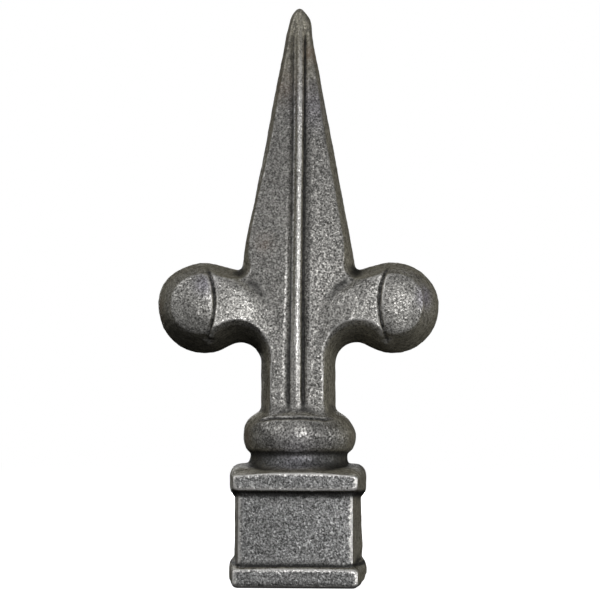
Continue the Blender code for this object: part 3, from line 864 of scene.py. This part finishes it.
def raw_iron(noted):
    """The iron's material, which reads the noted values."""
    material = bpy.data.materials.new("raw cast iron")
    material.use_nodes = True
    tree = material.node_tree
    shader = tree.nodes["Principled BSDF"]
    place = tree.nodes.new("ShaderNodeTexCoord").outputs["Object"]
    up = parts(tree, place)["Z"]
    at = SimpleNamespace(
        place=place,
        up=up,
        base=ramp(tree, up, *BASE_FROM_RING),
        grain=noise(tree, place, GRAIN_SIZE, detail=1.0, seed=0.5),
        clots=noise(tree, place, CLOT_SIZE, roughness=0.6, seed=6.5),
        **{name: noted_value(tree, name) for name in noted},
    )
    colour = bare_faces(tree, at)
    colour = fettled_sides(tree, at, colour)
    colour = bloomed(tree, at, colour)
    # Painted shade: the hollows and the shaded lines and levels are darkened towards black.
    sunk = sum_of(tree, at.hollow, product(tree, at.grain, GRAIN_IN_CREVICES))
    painted_shade_share = most(tree, ramp(tree, sunk, *CREVICE_DEPTHS, 0.0, CREVICE_COVER), at.dirt)
    worn_and_highlit = wear_and_painted_highlights(tree, at, painted_shade_share)
    colour = mix_colour(tree, painted_shade_share, colour, PAINTED_SHADE_BLACK)
    # Worn edges and painted highlights are lightened towards near-white iron.
    colour = mix_colour(tree, worn_and_highlit, colour, WORN_AND_HIGHLIT_IRON)
    # Painted shade: the inside of the socket is darkened towards dark iron.
    colour = mix_colour(tree, product(tree, at.inside, INSIDE_COVER), colour, IRON_DARK)
    tree.links.new(colour, shader.inputs["Base Color"])
    shader.inputs["Metallic"].default_value = METALLIC

    roughness = ramp(tree, at.grain, *GRAIN_GLOSS, DULL_ROUGHNESS, CLEAN_ROUGHNESS)
    roughness = sum_of(tree, roughness, product(tree, at.side, SIDE_ROUGHNESS))
    tree.links.new(mix_number(tree, worn_and_highlit, roughness, WORN_ROUGHNESS), shader.inputs["Roughness"])
    standing_grain = noise(tree, place, GRAIN_SIZE, detail=1.0, seed=3.5)
    bump = node(
        tree,
        "ShaderNodeBump",
        None,
        {"Strength": GRAIN_STRENGTH, "Distance": GRAIN_STANDS_OUT, "Height": standing_grain},
    )
    tree.links.new(bump.outputs[0], shader.inputs["Normal"])
    return material


# The dressed casting
# The skin's heights and shifts are added up and put on the even mesh, then the notes for the finish are taken
# from the finished surface. Most faces inside the socket, where nobody sees them, are dropped.

SKIN_SIZES = {**SAND_SIZES, **SOCKET_SIZES, **RING_SIZES, **BALL_SIZES, **BLADE_SIZES}
NOTED = ("edge", "hollow", "side", "inside", "rubbed", "crest", "dirt", "rust", "blue")
FLAT_RIM = 0.8 * MM
BORE_FACES_DROPPED = 0.75
KEPT_TRIANGLES = 190000


def cast_skin_tree():
    """Nodes that put the skin on the casting and note on it what its finish depends on."""
    tree = bpy.data.node_groups.new("cast skin", "GeometryNodeTree")
    tree.interface.new_socket("Geometry", in_out="INPUT", socket_type="NodeSocketGeometry")
    tree.interface.new_socket("Geometry", in_out="OUTPUT", socket_type="NodeSocketGeometry")
    for name in SKIN_SIZES:
        tree.interface.new_socket(name, in_out="INPUT", socket_type="NodeSocketFloat")
    tree.interface.new_socket("Material", in_out="INPUT", socket_type="NodeSocketMaterial")
    given = tree.nodes.new("NodeGroupInput").outputs
    at = surface(tree, given)
    filled = node(
        tree,
        "GeometryNodeSetPosition",
        None,
        {"Geometry": given["Geometry"], "Offset": foot_fill(tree, at, given)},
    )

    crease = ring_crease(tree, at, given)
    groove = ball_groove(tree, at, given)
    near_rib = rib_reach(tree, at)
    valley = rib_valley(tree, at, near_rib, given)
    height = sum_of(
        tree,
        *sand_heights(tree, at, given),
        seam_height(tree, at, given),
        spots(tree, at.place, CASTING_FAULTS, unit=MM),
        ball_fullness(tree, at, given),
        product(tree, crease, given["Crease Depth"], -1.0),
        product(tree, groove, given["Ball Groove Depth"], -1.0),
        rib_lean(tree, at, near_rib, given),
        product(tree, valley, given["Valley Depth"], -1.0),
    )
    height = product(tree, height, ramp(tree, at.up, 0.0, FLAT_RIM))

    rib_offset = rib_shift(tree, at, near_rib, given)
    sideways = sum_of(tree, ring_shift(tree, at, given), wall_shift(tree, at, given), rib_offset)
    raised = sum_of(tree, bowed_edges(tree, at), ring_rise(tree, at, given))
    shift = in_front_view(tree, sideways, raised)
    offset = vector_maths(tree, "ADD", scaled(tree, at.normal, height), shift)
    shape = node(
        tree, "GeometryNodeSetPosition", None, {"Geometry": filled.outputs[0], "Offset": offset}
    ).outputs[0]

    notes = finish_notes(tree, at, near_rib, rib_offset)
    notes["dirt"] = dirt(tree, at, crease, groove, valley)
    for name in NOTED:
        stored = node(
            tree,
            "GeometryNodeStoreNamedAttribute",
            {"data_type": "FLOAT", "domain": "POINT"},
            {"Geometry": shape, "Name": name, "Value": notes[name]},
        )
        shape = stored.outputs[0]
    real = node(tree, "GeometryNodeRealizeInstances", None, {"Geometry": shape})
    dressed = node(
        tree, "GeometryNodeSetMaterial", None, {"Geometry": real.outputs[0], "Material": given["Material"]}
    )
    node(tree, "NodeGroupOutput", None, {"Geometry": dressed.outputs[0]})
    return tree


def thin_out(made, kept):
    """Leaves a quarter of the faces inside the socket, then as many in all as are to be kept."""
    unseen = made.vertex_groups.new(name="unseen")
    marks = made.data.attributes["inside"].data
    hidden = [i for i, mark in enumerate(marks) if mark.value > 0.5]
    unseen.add(hidden, 1.0, "REPLACE")
    fewer = made.modifiers.new("fewer faces inside", "DECIMATE")
    fewer.ratio = 1.0 - BORE_FACES_DROPPED * len(hidden) / len(made.data.vertices)
    fewer.vertex_group = unseen.name
    fewer.use_collapse_triangulate = True
    settle(made)
    made.vertex_groups.clear()
    thin = made.modifiers.new("fewer faces", "DECIMATE")
    thin.ratio = min(1.0, kept / len(made.data.polygons))
    thin.use_collapse_triangulate = True
    settle(made)


skin = casting.modifiers.new("cast skin", "NODES")
skin.node_group = cast_skin_tree()
skin_inputs = {**SKIN_SIZES, "Material": raw_iron(NOTED)}
for item in skin.node_group.interface.items_tree:
    if item.in_out == "INPUT" and item.name in skin_inputs:
        skin[item.identifier] = skin_inputs[item.name]
settle(casting)
thin_out(casting, KEPT_TRIANGLES)
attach(casting, "root")
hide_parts(CASTING_NODE)


# The floor
# A plain pale sheet that the finial stands on. It glows a little, so it stays pale under the dim light, and
# lends none of that glow to the iron.

FLOOR_HALF = 6.0
FLOOR_COLOUR = (0.85, 0.85, 0.84, 1.0)
FLOOR_ROUGHNESS = 0.9
FLOOR_GLOW = 0.97
WHITE = (1.0, 1.0, 1.0, 1.0)


def pale_floor():
    """A square at the level of the finial's underside."""
    mesh = bpy.data.meshes.new("floor")
    corners = [(-1, -1), (1, -1), (1, 1), (-1, 1)]
    mesh.from_pydata([(x * FLOOR_HALF, y * FLOOR_HALF, 0.0) for x, y in corners], [], [(0, 1, 2, 3)])
    material = bpy.data.materials.new("pale floor")
    material.use_nodes = True
    shader = material.node_tree.nodes["Principled BSDF"]
    shader.inputs["Base Color"].default_value = FLOOR_COLOUR
    shader.inputs["Roughness"].default_value = FLOOR_ROUGHNESS
    shader.inputs["Emission Color"].default_value = WHITE
    shader.inputs["Emission Strength"].default_value = FLOOR_GLOW
    mesh.materials.append(material)
    made = bpy.data.objects.new("floor", mesh)
    made.visible_diffuse = False
    made.visible_glossy = False
    bpy.context.scene.collection.objects.link(made)
    return made


pale_floor()


# The light
# One soft light in front, a little to the right, weaker ones at both sides and above, and one behind for
# the other views. The surround is dim and dimmest below, so the undersides stay dark.

LIGHT_TARGET = Vector((0.0, 0.0, 0.075))
LIGHT_DISTANCE = 1.0
SURROUND_LEVELS = (-0.4, 0.1)
SURROUND_BELOW = 0.01
SURROUND_ABOVE = 0.035


def outward(turn, rise):
    """The way from the finial that is turned to the right of its front and raised, both in degrees."""
    turn, rise = math.radians(turn), math.radians(rise)
    return Vector((math.sin(turn) * math.cos(rise), -math.cos(turn) * math.cos(rise), math.sin(rise)))


def soft_light(name, turn, rise, size, power):
    """A round lamp that faces the finial's middle."""
    lamp = bpy.data.lights.new(name, "AREA")
    lamp.shape = "DISK"
    lamp.size = size
    lamp.energy = power
    made = bpy.data.objects.new(name, lamp)
    away = outward(turn, rise)
    made.location = LIGHT_TARGET + away * LIGHT_DISTANCE
    made.rotation_euler = (-away).to_track_quat("-Z", "Y").to_euler()
    bpy.context.scene.collection.objects.link(made)


soft_light("front light", turn=14.0, rise=6.0, size=0.4, power=4.0)
soft_light("left fill", turn=-58.0, rise=34.0, size=0.6, power=3.0)
soft_light("right fill", turn=78.0, rise=3.0, size=0.6, power=3.2)
soft_light("top fill", turn=0.0, rise=86.0, size=0.6, power=0.5)
soft_light("back light", turn=186.0, rise=10.0, size=0.6, power=4.0)


def surround():
    """A world that lights the finial dimly and looks white to the camera."""
    world = bpy.data.worlds.new("studio")
    world.use_nodes = True
    tree = world.node_tree
    tree.nodes.clear()
    up = parts(tree, tree.nodes.new("ShaderNodeTexCoord").outputs["Generated"])["Z"]
    level = ramp(tree, up, *SURROUND_LEVELS, SURROUND_BELOW, SURROUND_ABOVE)
    seen = tree.nodes.new("ShaderNodeLightPath").outputs["Is Camera Ray"]
    back = node(tree, "ShaderNodeBackground", None, {"Color": WHITE, "Strength": most(tree, level, seen)})
    node(tree, "ShaderNodeOutputWorld", None, {"Surface": back.outputs[0]})
    return world


bpy.context.scene.world = surround()
bpy.context.scene.view_settings.view_transform = "Standard"


# The camera
# It looks up at the front by a few degrees from a little to the right, close enough for the lens to spread
# the near edges of the socket.

CAMERA_TURN = 2.4
CAMERA_RISE = -6.5
CAMERA_ROLL = math.radians(0.16)
CAMERA_DISTANCE = 0.376
CAMERA_AIM = Vector((0.38 * MM, 0.0, 74.4 * MM))
LENS = 84.3
SENSOR = 36.0

photo_camera = bpy.data.cameras.new("camera")
photo_camera.lens = LENS
photo_camera.sensor_width = SENSOR
eye = bpy.data.objects.new("camera", photo_camera)
bpy.context.scene.collection.objects.link(eye)
to_camera = outward(CAMERA_TURN, CAMERA_RISE)
eye.location = CAMERA_AIM + to_camera * CAMERA_DISTANCE
eye.rotation_euler = (-to_camera).to_track_quat("-Z", "Y").to_matrix().to_euler()
eye.rotation_euler.rotate_axis("Z", CAMERA_ROLL)
bpy.context.scene.camera = eye
